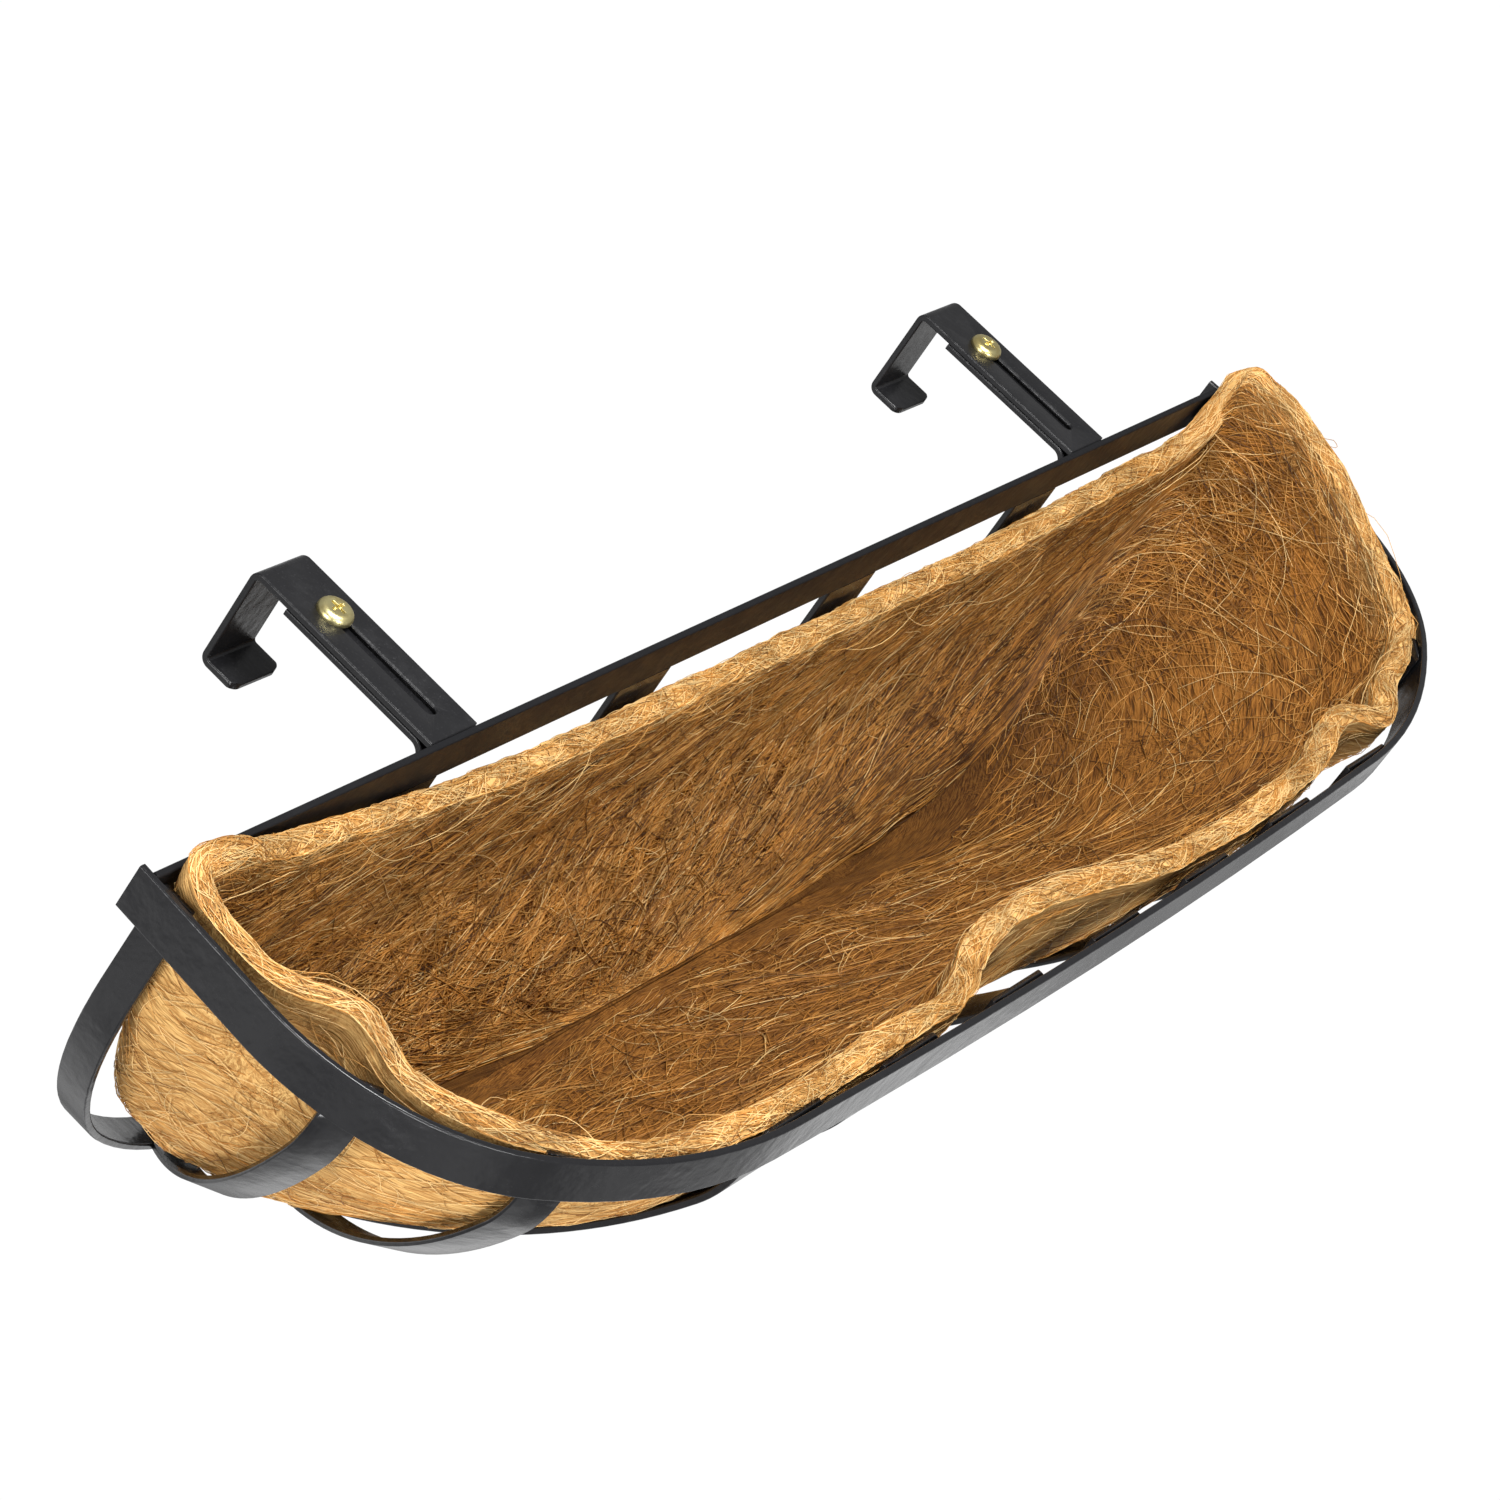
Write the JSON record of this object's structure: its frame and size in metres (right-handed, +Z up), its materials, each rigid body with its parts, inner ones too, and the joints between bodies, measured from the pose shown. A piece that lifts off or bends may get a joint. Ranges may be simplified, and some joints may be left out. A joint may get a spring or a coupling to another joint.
{
  "type": "rail planter basket",
  "caption": "Over-the-rail trough planter: a welded flat-bar basket with a coir liner and slotted hooks that slide to suit the rail and are clamped by screws.",
  "frame": {"origin": "rear face of the back bar, at the middle of its length and height, where it lies against the rail's side", "axes": "+X along the rail to the right, +Y over the rail, away from the basket, +Z up"},
  "size_m": [0.822, 0.294, 0.2275],
  "materials": {
    "frame_black": "gloss powder coat",
    "hook_black": "satin powder coat",
    "yellow_zinc": "yellow zinc plating",
    "coir": "matted coconut fibre"
  },
  "bodies": {
    "frame": {"back_bar": "frame_black", "front_rim": "frame_black", "end_hoop": "frame_black", "rib_1": "frame_black", "rib_2": "frame_black", "rib_3": "frame_black", "rib_4": "frame_black", "rib_5": "frame_black", "rib_6": "frame_black", "rib_7": "frame_black", "corner_rib_left_1": "frame_black", "corner_rib_left_2": "frame_black", "corner_rib_right_1": "frame_black", "corner_rib_right_2": "frame_black", "bracket_left": "frame_black", "bracket_right": "frame_black"},
    "hook_left": {"hook_left": "hook_black"},
    "hook_right": {"hook_right": "hook_black"},
    "screw_left": {"screw_left": "yellow_zinc"},
    "screw_right": {"screw_right": "yellow_zinc"},
    "liner": {"coir_liner": "coir"}
  },
  "joints": [
    {"name": "hook_left_slide", "type": "slide", "parent": "frame", "child": "hook_left", "axis": [0, 1, 0], "range_m": [0, 0.051]},
    {"name": "hook_right_slide", "type": "slide", "parent": "frame", "child": "hook_right", "axis": [0, 1, 0], "range_m": [0, 0.051]},
    {"name": "screw_left_turn", "type": "hinge", "parent": "frame", "child": "screw_left", "pos_m": [-0.225, 0.065, 0.01], "axis": [0, 0, 1], "continuous": true},
    {"name": "screw_right_turn", "type": "hinge", "parent": "frame", "child": "screw_right", "pos_m": [0.275, 0.065, 0.01], "axis": [0, 0, 1], "continuous": true},
    {"name": "liner_lift", "type": "slide", "parent": "frame", "child": "liner", "axis": [0, 0, 1], "range_m": [0, 0.25]}
  ]
}
